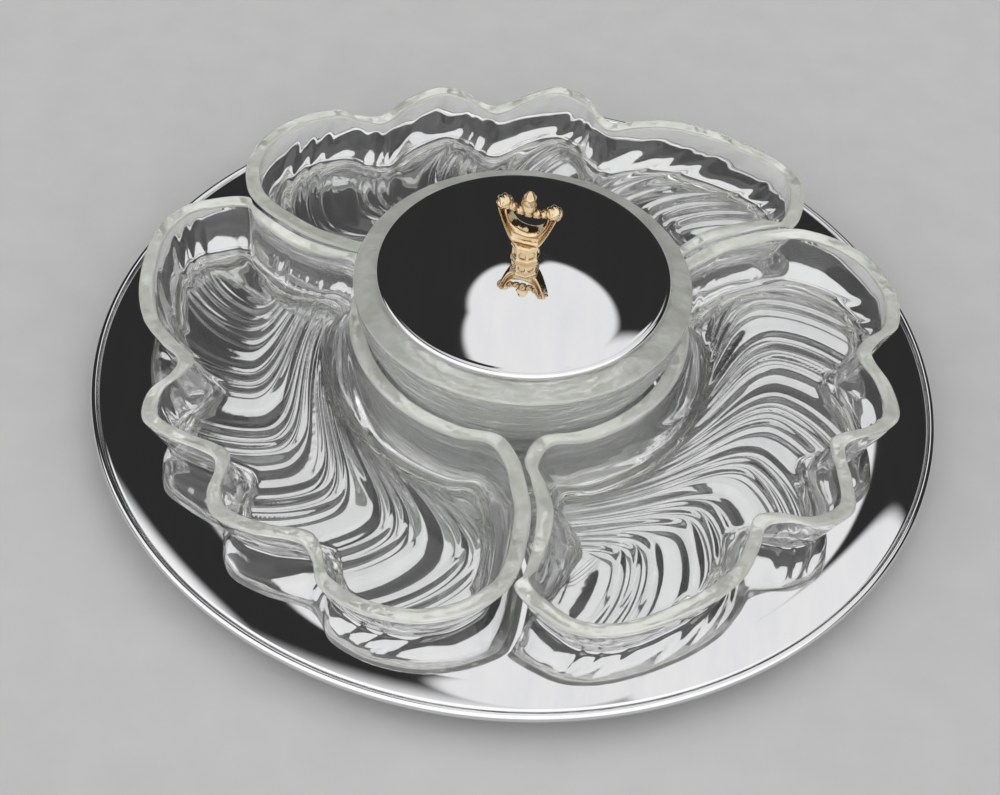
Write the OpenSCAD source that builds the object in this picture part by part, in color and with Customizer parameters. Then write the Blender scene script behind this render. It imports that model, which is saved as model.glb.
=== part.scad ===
// Lazy susan for relishes: a chromed tray turns on a ball race and carries three lobed,
// swirl-ribbed glass dishes round a covered glass bowl.
// Lengths in mm, angles in degrees, +Z up. The axis of the tray is Z, and Z = 0 is the table.

/* [Tray] */
// Diameter over the rolled edge
tray_d = 406; // [396:1:450]
// Thickness of the sheet
tray_t = 1.2; // [0.8:0.1:2]
// Diameter of the flat floor inside the drooping brim
tray_floor_d = 344; // [336:1:370]
// Fall of the brim from the floor to the middle of the rolled edge
tray_fall = 5.5; // [3:0.5:8]
// Diameter of the rolled edge
tray_bead_d = 4.4; // [3:0.2:6]

/* [Base] */
// Diameter of the bottom flange
base_d = 190; // [176:1:230]
// Diameter of the raised plate
base_plate_d = 144; // [130:1:156]
// Height from the underside of the flange to the top of the plate
base_h = 12; // [10:0.5:18]
// Thickness of the sheet
base_t = 1.2; // [0.8:0.1:2]
// Width of the flange that holds the feet
base_flange_w = 15; // [13:0.5:18]
// Diameter of a rubber foot
foot_d = 11; // [8:0.5:12]
// Height of a rubber foot below the flange
foot_h = 3.5; // [3:0.5:8]

/* [Bearing] */
// Diameter of a ball
ball_d = 5; // [4:0.25:6]
// Number of balls
ball_count = 16; // [10:1:20]
// Diameter of the circle of ball centres
ball_pitch_d = 50; // [46:1:54]
// Diameter of the two race plates
race_d = 92; // [86:1:100]
// Thickness of a race plate
race_t = 2.2; // [1.8:0.1:3]
// Depth of the ball groove in a race plate
groove_depth = 1.3; // [1:0.1:1.5]
// Thickness of the ball cage
cage_t = 1.2; // [0.8:0.1:1.6]
// Radial width of the ball cage
cage_w = 10; // [8:0.5:11]
// Diameter of the circle of rivets in a race plate
rivet_pitch_d = 78; // [74:1:80]
// Diameter of a rivet
rivet_d = 3; // [2:0.25:4]

/* [Pivot] */
// Diameter of the pivot bolt
bolt_d = 6; // [5:0.5:8]
// Diameter of the low round head
bolt_head_d = 14; // [11:0.5:18]
// Height of the low round head
bolt_head_h = 2.2; // [1.5:0.1:2.8]
// Diameter of the washer under the base plate
washer_d = 16; // [13:0.5:20]
// Thickness of the washer
washer_t = 1.2; // [0.8:0.1:1.6]
// Width of the nut across its flats
nut_flats = 10; // [9:0.5:13]
// Height of the nut
nut_h = 4; // [3:0.5:4.5]

/* [Dishes] */
// Height of a dish
dish_h = 27; // [22:0.5:34]
// Radius of the circle through the notches between the lobes of the rim
notch_r = 163; // [160:0.5:168]
// Radius of the circle through the highest crests of the lobes
lobe_r = 186.5; // [180:0.5:190]
// Width of the flat glass rim
rim_w = 6; // [4:0.5:8]
// Thickness of the glass floor
dish_floor_t = 5; // [4:0.5:7]
// Depth of the swirl ribs on the wall
rib_depth = 0.9; // [0.4:0.1:1.4]
// Gap between two dishes along their shared curved wall
dish_gap = 2.4; // [1:0.2:3]

/* [Bowl] */
// Diameter over the rim
bowl_d = 157.6; // [152:0.4:162]
// Height to the seat of the lid
bowl_h = 56; // [50:0.5:66]
// Diameter of the foot ring
bowl_foot_d = 116; // [110:1:120]
// Thickness of the glass floor above the recess of the foot
bowl_floor_t = 4; // [3:0.5:6]

/* [Lid] */
// Diameter over the rolled edge
lid_d = 136.8; // [132:0.4:138]
// Thickness of the sheet
lid_t = 0.9; // [0.6:0.1:1.4]
// Rise of the dome
lid_rise = 9; // [6:0.5:14]
// Diameter of the rolled edge
lid_bead_d = 4; // [3:0.2:5]
// Depth of the skirt that centres the lid in the mouth of the bowl
lid_skirt_h = 6; // [4:0.5:10]

/* [Finial] */
// Width over the horns of the loop
finial_w = 28; // [26:0.5:31]
// Height of the loop above the collar
loop_h = 18; // [16:0.5:21]
// Depth of the loop from front to back
loop_depth = 8; // [6:0.5:9]
// Height of the faceted collar
collar_h = 10; // [8:0.5:12]
// Width of the faceted collar
collar_w = 13; // [11:0.5:14]
// Turn of the finial about the axis
finial_turn = -14; // [-90:1:90]
// Diameter of the screw that holds the finial
screw_d = 4; // [3:0.5:5]

/* [Clearances] */
// Radial running clearance of the pivot bolt in the base
running_clearance = 0.05; // [0.02:0.01:0.1]
// Clearance of a ball in its grooves and in the cage
ball_clearance = 0.15; // [0.1:0.05:0.25]
// Clearance of a bolt, rivet or screw in a plain hole
hole_clearance = 0.1; // [0.05:0.05:0.3]
// Gap under what stands loose on the tray or on the bowl
seat_gap = 0.1; // [0.05:0.05:0.3]
// End play of the washer under the base plate
end_play = 0.2; // [0.1:0.05:0.4]
// Gap between the bowl and the dishes round it
bowl_clearance = 1.2; // [0.8:0.1:2]
// Radial clearance of the skirt of the lid in the bowl
skirt_clearance = 0.6; // [0.4:0.1:1]

/* [Hidden] */
$fn = 96;

// How far a cutter reaches past the face that it cuts
cut = 1;

// Levels above the table
base_top_z = foot_h + base_h;
race_gap = ball_d + 2 * ball_clearance - 2 * groove_depth;
ball_z = base_top_z + race_t + race_gap / 2;
upper_race_z = base_top_z + race_t + race_gap;
tray_z = upper_race_z + race_t;
floor_z = tray_z + tray_t;
bead_z = floor_z - tray_fall;
stand_z = floor_z + seat_gap;
seat_z = stand_z + bowl_h;
lid_bead_z = seat_z + seat_gap + lid_bead_d / 2;
apex_z = lid_bead_z + lid_bead_d / 2 + lid_rise;

// Base, bearing and pivot
foot_count = 4;
first_foot_a = 45;
foot_r = base_d / 2 - base_flange_w / 2;
foot_taper = 1;
foot_stem_d = 4;
foot_button_d = 6.5;
foot_button_h = 1.6;
base_collar_h = 2.5;
base_collar_t = 1.5;
race_hole_gap = 2;
race_hole_d = bolt_d + 2 * race_hole_gap;
rivet_count = 4;
lower_rivet_a = 0;
upper_rivet_a = 45;
rivet_head_d = 2 * rivet_d;
rivet_head_h = 0.8;
rivet_hole_d = rivet_d + 2 * hole_clearance;
bolt_hole_d = bolt_d + 2 * hole_clearance;
bolt_chamfer = 0.5;
bolt_head_taper = 0.6;
bolt_end = 1;
washer_top_z = base_top_z - base_t - base_collar_h - end_play;
nut_top_z = washer_top_z - washer_t;

// Lid, its screw and the mouth of the bowl
lid_r = lid_d / 2;
lid_edge_r = lid_r - lid_bead_d / 2;
skirt_t = 0.8;
skirt_inset = 1.2;
skirt_r = lid_r - lid_bead_d - skirt_inset;
mouth_r = skirt_r + skirt_clearance;
screw_hole_d = screw_d + 2 * hole_clearance;
screw_head_d = 2 * screw_d;
screw_head_h = 2.4;
finial_washer_d = 12;
finial_washer_t = 1;
under_lid_z = apex_z - lid_t - finial_washer_t;

// Dishes: three alike, a third of a turn apart
dish_count = 3;
dish_step = 360 / dish_count;
dish_in_r = bowl_d / 2 + bowl_clearance;
rim_step = 6;

function polar(r, a) = [r * cos(a), r * sin(a)];
function angle_of(p) = atan2(p.y, p.x);
function mix(a, b, t) = a + (b - a) * t;

// Smooth closed curve through key points, cut into steps of about one length
function between(a, b, c, d, t) =
    0.5 * (2 * b + (c - a) * t + (2 * a - 5 * b + 4 * c - d) * t * t
           + (3 * b - a - 3 * c + d) * t * t * t);
function closed_curve(keys, step) =
    let (n = len(keys))
    [for (i = [0 : n - 1])
        let (b = keys[i], c = keys[(i + 1) % n], cuts = max(1, round(norm(c - b) / step)))
        for (k = [0 : cuts - 1])
            between(keys[(i + n - 1) % n], b, c, keys[(i + 2) % n], k / cuts)];

// Rim of the dish on the right. The wall at its start is the curve that the far end of the dish
// before it nests into, as [share of the way from the bowl to the notches, angle past the seam].
seam_a = -91;
far_a = seam_a + dish_step;
nest_keys = [[0.22, 6], [0.43, 6.9], [0.67, 5.6], [0.86, 3.9]];
function gap_a(r) = dish_gap / 2 / r * 180 / PI;
function nest_r(key) = mix(dish_in_r, notch_r, key[0]);
start_wall = [for (k = nest_keys) polar(nest_r(k), seam_a + k[1] + gap_a(nest_r(k)))];
far_wall = [for (i = [len(nest_keys) - 1 : -1 : 0])
    let (k = nest_keys[i]) polar(nest_r(k), far_a + k[1] - gap_a(nest_r(k)))];

// Outer edge with two narrow lobes between two wide ones, as [angle past the seam, share of the
// way from the notch circle to the crest circle]
lobe_keys = [
    [3, -0.2], [6, 0.3], [11, 0.83], [18, 0.98], [28, 0.83], [36, 0.59], [41.5, 0.22],
    [45.7, -0.09], [49, 0.11], [52, 0.6], [57, 0.85], [62, 0.48], [66, 0.13],
    [68.6, 0.02], [71, 0.2], [73.7, 0.58], [77.7, 0.8], [83.5, 0.56], [88, 0.24],
    [90.6, 0.18], [93.4, 0.4], [96.6, 0.82], [103, 1], [110, 0.89], [116, 0.54], [121, 0]
];
lobed_edge = [for (k = lobe_keys) polar(mix(notch_r, lobe_r, k[1]), seam_a + k[0])];

// Edge along the bowl, with a round corner at each end
corner_r = 6;
corner_a = 4.4;
bowl_side_steps = 8;
bowl_side_start_a = 7;
bowl_side_end_a = -1;
start_corner = polar(dish_in_r + corner_r, seam_a + corner_a + gap_a(dish_in_r));
far_corner = polar(dish_in_r + corner_r, far_a + corner_a - gap_a(dish_in_r));
bowl_side = [for (i = [0 : bowl_side_steps])
    polar(dish_in_r, mix(far_a + bowl_side_end_a, seam_a + bowl_side_start_a, i / bowl_side_steps))];
rim_outline = closed_curve(
    concat([start_corner], start_wall, lobed_edge, far_wall, [far_corner], bowl_side), rim_step);
rim_count = len(rim_outline);

// The walls of a dish draw in from the rim towards a curved spine along its middle
spine_r = mix(dish_in_r, notch_r, 0.6);
spine_start_a = seam_a + 28;
spine_end_a = far_a - 20;
function spine_point(p) = polar(spine_r, max(spine_start_a, min(spine_end_a, angle_of(p))));
function inset(p, d) = let (v = spine_point(p) - p) p + v * d / norm(v);

// The floor draws in towards a curve beside the bowl, where its ribs run together
fan_r = mix(dish_in_r, notch_r, 0.45);
function fan(p, share) =
    let (a = max(spine_start_a, min(spine_end_a, angle_of(p)))) mix(p, polar(fan_r, a), share);

// One ring of a dish from a level given as [inset, height, lean, rib sideways, rib upwards, share
// of the way in over the floor]. Every second point stands proud, and the columns of points lean
// from ring to ring, so that the ridges wind up the wall.
function ridge(i) = i % 2 == 0 ? -0.5 : 0.5;
function rim_at(i) =
    let (whole = floor(i))
    mix(rim_outline[whole % rim_count], rim_outline[(whole + 1) % rim_count], i - whole);
function dish_ring(level) =
    [for (i = [0 : rim_count - 1])
        let (p = rim_at(i + level[2]),
             q = fan(inset(p, level[0] + ridge(i) * level[3]), level[5]))
        [q.x, q.y, level[1] - ridge(i) * level[4]]];

// Underside: a recess, then a foot ring
dish_recess = 1.4;
foot_ring_w = 4;
wall_taper = 11.5;
foot_bevel = 1.6;
wall_steps = 5;
foot_in = wall_taper + foot_bevel;
recess_in = foot_in + foot_ring_w + dish_recess;
underside = [
    [recess_in + foot_ring_w, dish_recess, wall_steps, 0, 0, 0],
    [recess_in, dish_recess, wall_steps, 0, 0, 0],
    [foot_in + foot_ring_w, 0, wall_steps, 0, 0, 0],
    [foot_in, 0, wall_steps, 0, 0, 0]
];

// Outside wall, which flares to the rim
rim_round = 1.4;
outside_wall = [for (i = [0 : wall_steps])
    let (t = i / wall_steps)
    [wall_taper * (1 - t), mix(foot_bevel, dish_h - rim_round, t), wall_steps - i,
     rib_depth * sin(180 * t), 0, 0]];
flat_rim = [[rim_round, dish_h, 0, 0, 0, 0], [rim_w, dish_h, 0, 0, 0, 0]];

// Inside wall, a quarter of an ellipse down to the floor
inside_steps = 4;
inside_w = 15;
inside_h = dish_h - rim_round - dish_floor_t;
inside_wall = [for (i = [0 : inside_steps])
    let (a = 90 * i / inside_steps, rib = rib_depth * i / inside_steps)
    [rim_w + rim_round + inside_w * (1 - cos(a)), dish_floor_t + inside_h * (1 - sin(a)), i,
     rib * cos(a), rib * sin(a), 0]];

// Floor, ring by ring. Its ribs lean the other way from those on the wall.
floor_steps = 3;
floor_lean = -0.65;
floor_rings = [for (i = [1 : floor_steps])
    [rim_w + rim_round + inside_w, dish_floor_t, inside_steps + floor_lean * i, 0,
     i == floor_steps ? 0 : rib_depth, i / (floor_steps + 1)]];
dish_levels = concat(underside, outside_wall, flat_rim, inside_wall, floor_rings);

// Solid skinned over a stack of rings with the same number of points, closed by flat ends
module skin(rings) {
    n = len(rings[0]);
    last = len(rings) - 1;
    points = [for (ring = rings) each ring];
    sides = [for (k = [0 : last - 1], i = [0 : n - 1])
        let (j = (i + 1) % n, low = k * n, high = low + n)
        each [[low + i, high + i, low + j], [low + j, high + i, high + j]]];
    ends = [[for (i = [0 : n - 1]) i], [for (i = [n - 1 : -1 : 0]) last * n + i]];
    polyhedron(points, concat(sides, ends), convexity = 10);
}

module ring_of(count, r, first = 0) {
    for (i = [0 : count - 1])
        rotate(first + i * 360 / count) translate([r, 0, 0]) children();
}

// Pressed steel pan: a flange for the feet, a sloping wall and a raised plate for the bearing,
// with a drawn collar for the pivot
module base_pan() {
    plate_r = base_plate_d / 2;
    flange_r = base_d / 2 - base_flange_w;
    bore_r = bolt_d / 2 + running_clearance;
    collar_r = bore_r + base_collar_t;
    under_z = base_top_z - base_t;
    color("dimgray") difference() {
        rotate_extrude() polygon([
            [bore_r, base_top_z],
            [plate_r, base_top_z],
            [flange_r, foot_h + base_t],
            [base_d / 2, foot_h + base_t],
            [base_d / 2, foot_h],
            [flange_r - base_t, foot_h],
            [plate_r - base_t, under_z],
            [collar_r, under_z],
            [collar_r, under_z - base_collar_h],
            [bore_r, under_z - base_collar_h]
        ]);
        ring_of(foot_count, foot_r, first_foot_a)
            translate([0, 0, foot_h - cut])
                cylinder(d = foot_stem_d + 2 * hole_clearance, h = base_t + 2 * cut);
        ring_of(rivet_count, rivet_pitch_d / 2, lower_rivet_a)
            translate([0, 0, under_z - cut]) cylinder(d = rivet_hole_d, h = base_t + 2 * cut);
    }
}

// Rubber foot: a tapered pad, a stem through the flange and a button that holds it there
module foot(index) {
    stem_top = foot_h + base_t;
    turn = first_foot_a + (index - 1) * 360 / foot_count;
    color("black") rotate(turn) translate([foot_r, 0, 0])
        rotate_extrude($fn = 48) polygon([
            [0, 0],
            [foot_d / 2 - foot_taper, 0],
            [foot_d / 2, foot_h],
            [foot_stem_d / 2, foot_h],
            [foot_stem_d / 2, stem_top],
            [foot_button_d / 2, stem_top],
            [foot_stem_d / 2, stem_top + foot_button_h],
            [0, stem_top + foot_button_h]
        ]);
}

// Race plate with its groove upwards and its back at Z = 0
module race_plate(first) {
    groove_r = ball_d / 2 + ball_clearance;
    difference() {
        cylinder(d = race_d, h = race_t);
        translate([0, 0, -cut]) cylinder(d = race_hole_d, h = race_t + 2 * cut);
        translate([0, 0, race_t + groove_r - groove_depth])
            rotate_extrude() translate([ball_pitch_d / 2, 0]) circle(r = groove_r, $fn = 48);
        ring_of(rivet_count, rivet_pitch_d / 2, first)
            translate([0, 0, -cut]) cylinder(d = rivet_hole_d, h = race_t + 2 * cut);
    }
}

module lower_race() {
    color("lightslategray") translate([0, 0, base_top_z]) race_plate(lower_rivet_a);
}

module upper_race() {
    color("lightslategray") translate([0, 0, tray_z]) mirror([0, 0, 1])
        race_plate(upper_rivet_a);
}

// Rivets with a flat head at each end, through a stack from z to z + grip
module rivets(z, grip, first) {
    color("silver") ring_of(rivet_count, rivet_pitch_d / 2, first) {
        translate([0, 0, z - rivet_head_h]) cylinder(d = rivet_head_d, h = rivet_head_h, $fn = 32);
        translate([0, 0, z]) cylinder(d = rivet_d, h = grip, $fn = 32);
        translate([0, 0, z + grip]) cylinder(d = rivet_head_d, h = rivet_head_h, $fn = 32);
    }
}

module lower_race_rivets() {
    rivets(base_top_z - base_t, base_t + race_t, lower_rivet_a);
}

module upper_race_rivets() {
    rivets(upper_race_z, race_t + tray_t, upper_rivet_a);
}

// Flat ring that keeps the balls apart
module ball_cage() {
    color("tan") difference() {
        translate([0, 0, ball_z - cage_t / 2]) cylinder(d = ball_pitch_d + cage_w, h = cage_t);
        translate([0, 0, ball_z - cage_t]) cylinder(d = ball_pitch_d - cage_w, h = 2 * cage_t);
        ring_of(ball_count, ball_pitch_d / 2)
            translate([0, 0, ball_z - cage_t])
                cylinder(d = ball_d + 2 * ball_clearance, h = 2 * cage_t, $fn = 32);
    }
}

module bearing_balls() {
    color("silver") ring_of(ball_count, ball_pitch_d / 2)
        translate([0, 0, ball_z]) sphere(d = ball_d, $fn = 32);
}

// Spun tray: a flat floor, a brim that droops in a parabola, and a rolled edge
module tray() {
    floor_r = tray_floor_d / 2;
    bead_r = (tray_d - tray_bead_d) / 2;
    brim_steps = 8;
    function brim(t, z) = [mix(floor_r, bead_r, t), z - tray_fall * t * t];
    brim_top = [for (i = [0 : brim_steps]) brim(i / brim_steps, floor_z)];
    brim_under = [for (i = [brim_steps : -1 : 0]) brim(i / brim_steps, tray_z)];
    color("gainsboro") difference() {
        union() {
            rotate_extrude($fn = 180)
                polygon(concat([[bolt_hole_d / 2, floor_z]], brim_top, brim_under,
                               [[bolt_hole_d / 2, tray_z]]));
            rotate_extrude($fn = 180)
                translate([bead_r, bead_z - tray_t / 2]) circle(d = tray_bead_d, $fn = 32);
        }
        ring_of(rivet_count, rivet_pitch_d / 2, upper_rivet_a)
            translate([0, 0, tray_z - cut]) cylinder(d = rivet_hole_d, h = tray_t + 2 * cut);
    }
}

// Bolt down through the tray and the base, with a low round head under the bowl
module pivot_bolt() {
    end_z = nut_top_z - nut_h - bolt_end;
    color("silver") rotate_extrude() polygon([
        [0, end_z],
        [bolt_d / 2 - bolt_chamfer, end_z],
        [bolt_d / 2, end_z + bolt_chamfer],
        [bolt_d / 2, floor_z],
        [bolt_head_d / 2, floor_z],
        [bolt_head_d / 2 - bolt_head_taper, floor_z + bolt_head_h / 2],
        [bolt_head_d / 4, floor_z + bolt_head_h],
        [0, floor_z + bolt_head_h]
    ]);
}

module pivot_washer() {
    color("silver") translate([0, 0, nut_top_z]) difference() {
        cylinder(d = washer_d, h = washer_t);
        translate([0, 0, -cut]) cylinder(d = bolt_hole_d, h = washer_t + 2 * cut);
    }
}

module pivot_nut() {
    color("silver") translate([0, 0, nut_top_z - nut_h]) difference() {
        cylinder(d = nut_flats / cos(30), h = nut_h, $fn = 6);
        translate([0, 0, -cut]) cylinder(d = bolt_hole_d, h = nut_h + 2 * cut);
    }
}

// Pressed glass dish: a lobed outline with a flat rim, walls with leaning ribs, a floor with ribs
// that fan out in a swirl, and a foot ring round a shallow recess
module dish(index) {
    color("lightcyan") rotate((index - 1) * dish_step) translate([0, 0, stand_z])
        skin([for (level = dish_levels) dish_ring(level)]);
}

// Pressed glass bowl: a foot ring round a recess, a flaring wall, and a sloping rim with a flat
// seat for the lid
module bowl() {
    rim_r = bowl_d / 2;
    foot_r = bowl_foot_d / 2;
    foot_ring_w = 6;
    recess = 3.6;
    recess_slope = 2;
    seat_margin = 1.6;
    seat_r = lid_r + seat_margin;
    rim_drop = 2;
    rim_edge = 1.2;
    wall_top = bowl_h - rim_drop - 2 * rim_edge;
    floor_top = recess + bowl_floor_t;
    mouth_draft = 2.5;
    mouth_z = bowl_h * 0.45;
    inside_r = mouth_r - mouth_draft;
    inside_w = 27;
    steps = 12;
    outside = [for (i = [0 : steps])
        let (t = i / steps) [mix(foot_r, rim_r - rim_edge / 2, sin(90 * t)), wall_top * t]];
    inside = [for (i = [0 : steps])
        let (a = 90 * i / steps)
        [inside_r - inside_w * (1 - cos(a)), mix(mouth_z, floor_top, sin(a))]];
    color("lightcyan") translate([0, 0, stand_z]) rotate_extrude($fn = 144)
        polygon(concat(
            [[0, recess], [foot_r - foot_ring_w - recess_slope, recess], [foot_r - foot_ring_w, 0]],
            outside,
            [[rim_r, wall_top + rim_edge], [rim_r - rim_edge, bowl_h - rim_drop],
             [seat_r, bowl_h], [mouth_r, bowl_h]],
            inside,
            [[0, floor_top]]));
}

// Spun lid: a low dome, a rolled edge that rests on the bowl, and a skirt inside its mouth
module lid() {
    dome_steps = 10;
    dome_z = lid_bead_z + lid_bead_d / 2;
    hole_r = screw_hole_d / 2;
    flat_margin = 1.2;
    flat_r = collar_w / 2 + flat_margin;
    dome_power = 3;
    function dome(t) = [mix(flat_r, lid_edge_r, t), dome_z + lid_rise * (1 - pow(t, dome_power))];
    outside = [for (i = [0 : dome_steps]) dome(i / dome_steps)];
    inside = [for (i = [dome_steps : -1 : 0]) dome(i / dome_steps) - [0, lid_t]];
    color("gainsboro") {
        rotate_extrude($fn = 144)
            polygon(concat([[hole_r, apex_z]], outside, inside, [[hole_r, apex_z - lid_t]]));
        rotate_extrude($fn = 144)
            translate([lid_edge_r, lid_bead_z]) circle(d = lid_bead_d, $fn = 32);
        difference() {
            translate([0, 0, seat_z - lid_skirt_h])
                cylinder(r = skirt_r, h = lid_skirt_h + seat_gap + lid_bead_d, $fn = 144);
            translate([0, 0, seat_z - lid_skirt_h - cut])
                cylinder(r = skirt_r - skirt_t, h = lid_skirt_h + 2 * lid_bead_d, $fn = 144);
        }
        difference() {
            translate([0, 0, lid_bead_z])
                cylinder(r = lid_edge_r, h = lid_t, $fn = 144);
            translate([0, 0, lid_bead_z - cut])
                cylinder(r = skirt_r - skirt_t, h = lid_t + 2 * cut, $fn = 144);
        }
    }
}

// Half ellipse, open upwards, with its horns at the height of its centre
function half_ellipse(w, h, steps) =
    [for (i = [0 : steps])
        let (a = 180 + i * 180 / steps) [w * cos(a), h * sin(a)]];

// Cast finial: a faceted collar, a fan, a loop with a raised border, a rosette on each horn, a
// swag of beads between them and a bud in the middle
module finial() {
    half_w = finial_w / 2;
    border_w = 2.2;
    band_w = 5;
    band_depth = loop_depth * 0.7;
    overlap = 0.1;
    facets = 8;
    facet_a = 180 / facets;
    facet_d = collar_w / cos(facet_a);
    bevel_h = 2;
    fan_depth = loop_depth * 0.6;
    fan_foot_w = collar_w * 0.4;
    fan_top_w = half_w * 0.7;
    fan_top_z = collar_h + loop_h * 0.36;
    horn_r = half_w - band_w / 2;
    rosette_r = 4;
    rosette_z = 1;
    swag_count = 6;
    swag_sag = 3;
    bead_r = 1.2 * horn_r / swag_count;
    bud_r = 4;
    bud_h = 12;
    bud_foot = 1.5;
    bud = [[0, 0], [0.7, 0.12], [1, 0.4], [0.8, 0.72], [0.3, 0.95], [0, 1]];
    module upright(depth) {
        rotate([90, 0, 0]) translate([0, 0, -depth / 2]) linear_extrude(depth) children();
    }
    module ball(r) {
        rotate([90, 90, 0]) sphere(r = r, $fn = 32);
    }
    module band(outer, inner, depth) {
        steps = 24;
        outer_edge = half_ellipse(half_w - outer, loop_h - outer, steps);
        inner_edge = half_ellipse(half_w - inner, loop_h - inner, steps);
        upright(depth) polygon(concat(outer_edge, [for (p = inner_edge) [-p.x, p.y]]));
    }
    color("goldenrod") translate([0, 0, apex_z]) rotate(finial_turn) difference() {
        union() {
            rotate(facet_a) cylinder(d = facet_d, h = collar_h - bevel_h, $fn = facets);
            rotate(facet_a) translate([0, 0, collar_h - bevel_h - overlap])
                cylinder(d1 = facet_d, d2 = collar_w - bevel_h, h = bevel_h + overlap, $fn = facets);
            upright(fan_depth) polygon([
                [-fan_foot_w, collar_h - bevel_h], [fan_foot_w, collar_h - bevel_h],
                [fan_top_w, fan_top_z], [-fan_top_w, fan_top_z]]);
            translate([0, 0, collar_h + loop_h]) {
                band(0, border_w, loop_depth);
                band(border_w - overlap, band_w, band_depth);
                for (side = [-1, 1])
                    translate([side * horn_r, 0, rosette_z]) ball(rosette_r);
                for (i = [1 : swag_count - 1])
                    let (t = 2 * i / swag_count - 1)
                    translate([t * horn_r, 0, rosette_z - swag_sag * (1 - t * t)]) ball(bead_r);
                translate([0, 0, -bud_foot]) rotate(facet_a) rotate_extrude($fn = 32)
                    polygon([for (p = bud) [p[0] * bud_r, p[1] * bud_h]]);
            }
        }
        translate([0, 0, -cut]) cylinder(d = screw_hole_d, h = collar_h * 0.8 + cut, $fn = 32);
    }
}

// Pan head screw up through the lid into the finial
module finial_screw() {
    reach = finial_washer_t + lid_t + collar_h * 0.7;
    color("silver") translate([0, 0, under_lid_z]) {
        cylinder(d = screw_d, h = reach, $fn = 32);
        translate([0, 0, -screw_head_h]) cylinder(d = screw_head_d, h = screw_head_h, $fn = 48);
    }
}

module finial_washer() {
    color("silver") translate([0, 0, under_lid_z]) difference() {
        cylinder(d = finial_washer_d, h = finial_washer_t);
        translate([0, 0, -cut]) cylinder(d = screw_hole_d, h = finial_washer_t + 2 * cut);
    }
}

base_pan();
foot(1);  // foot_1
foot(2);  // foot_2
foot(3);  // foot_3
foot(4);  // foot_4
lower_race();
lower_race_rivets();
ball_cage();
bearing_balls();
upper_race();
upper_race_rivets();
tray();
pivot_bolt();
pivot_washer();
pivot_nut();
dish(1);  // dish_1
dish(2);  // dish_2
dish(3);  // dish_3
bowl();
lid();
finial();
finial_screw();
finial_washer();
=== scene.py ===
import bmesh
import bpy
import numpy as np
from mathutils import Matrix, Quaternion, Vector


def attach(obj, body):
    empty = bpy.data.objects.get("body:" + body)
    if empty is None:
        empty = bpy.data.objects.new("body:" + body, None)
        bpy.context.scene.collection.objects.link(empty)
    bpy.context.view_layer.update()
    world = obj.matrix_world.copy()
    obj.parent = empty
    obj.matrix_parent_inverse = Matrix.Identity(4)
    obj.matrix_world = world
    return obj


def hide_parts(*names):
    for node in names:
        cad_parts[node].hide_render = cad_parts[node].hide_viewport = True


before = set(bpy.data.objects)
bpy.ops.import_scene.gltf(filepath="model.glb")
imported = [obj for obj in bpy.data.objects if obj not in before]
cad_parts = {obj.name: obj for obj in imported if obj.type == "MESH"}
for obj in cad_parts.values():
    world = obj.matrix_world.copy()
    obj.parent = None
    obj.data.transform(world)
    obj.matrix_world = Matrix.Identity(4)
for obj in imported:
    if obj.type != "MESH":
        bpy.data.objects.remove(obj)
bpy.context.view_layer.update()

# Base pan and its feet. The pan is pressed from sheet steel and stove enamelled black; each of the
# four rubber feet is pushed through a hole in its flange. Their shapes come from the frame.
noise_low = 0.3
noise_high = 0.7


def new_finish(name):
    """New material with its node tree, its shader and the place on the piece that textures follow."""
    material = bpy.data.materials.new(name)
    material.use_nodes = True
    tree = material.node_tree
    shader = tree.nodes["Principled BSDF"]
    place = tree.nodes.new("ShaderNodeTexCoord")
    return material, tree, shader, place.outputs["Object"]


def add_noise(tree, place, per_metre, detail=3.0, stretch=(1, 1, 1)):
    """Noise with a given number of grains per metre, packed closer along the axes by stretch."""
    mapping = tree.nodes.new("ShaderNodeMapping")
    mapping.inputs["Scale"].default_value = stretch
    noise = tree.nodes.new("ShaderNodeTexNoise")
    noise.inputs["Scale"].default_value = per_metre
    noise.inputs["Detail"].default_value = detail
    tree.links.new(place, mapping.inputs["Vector"])
    tree.links.new(mapping.outputs["Vector"], noise.inputs["Vector"])
    return noise.outputs["Fac"]


def spread(tree, source, low, high):
    """Values from low to high along the middle of a noise."""
    ranged = tree.nodes.new("ShaderNodeMapRange")
    ranged.inputs["From Min"].default_value = noise_low
    ranged.inputs["From Max"].default_value = noise_high
    ranged.inputs["To Min"].default_value = low
    ranged.inputs["To Max"].default_value = high
    tree.links.new(source, ranged.inputs["Value"])
    return ranged.outputs["Result"]


def tint(tree, source, dark, light):
    """Colours from dark to light along the middle of a noise."""
    ramp_node = tree.nodes.new("ShaderNodeValToRGB")
    ramp_node.color_ramp.elements[0].position = noise_low
    ramp_node.color_ramp.elements[0].color = (*dark, 1)
    ramp_node.color_ramp.elements[1].position = noise_high
    ramp_node.color_ramp.elements[1].color = (*light, 1)
    tree.links.new(source, ramp_node.inputs["Fac"])
    return ramp_node.outputs["Color"]


def press_bump(tree, shader, source, height):
    """Unevenness of the surface, with its height in metres."""
    bump = tree.nodes.new("ShaderNodeBump")
    bump.inputs["Distance"].default_value = height
    tree.links.new(source, bump.inputs["Height"])
    tree.links.new(bump.outputs["Normal"], shader.inputs["Normal"])


def mottled(name, dark, light, grains, rough, bump=0.0, metal=0.0):
    """Finish whose colour and roughness wander a little over the surface, with grains per metre."""
    material, tree, shader, place = new_finish(name)
    grain = add_noise(tree, place, grains)
    tree.links.new(tint(tree, grain, dark, light), shader.inputs["Base Color"])
    tree.links.new(spread(tree, grain, *rough), shader.inputs["Roughness"])
    shader.inputs["Metallic"].default_value = metal
    if bump:
        press_bump(tree, shader, grain, bump)
    return material


def dress(material, *nodes):
    """Gives pieces of the frame their finish."""
    for node in nodes:
        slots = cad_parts[node].data.materials
        slots.clear()
        slots.append(material)


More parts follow.
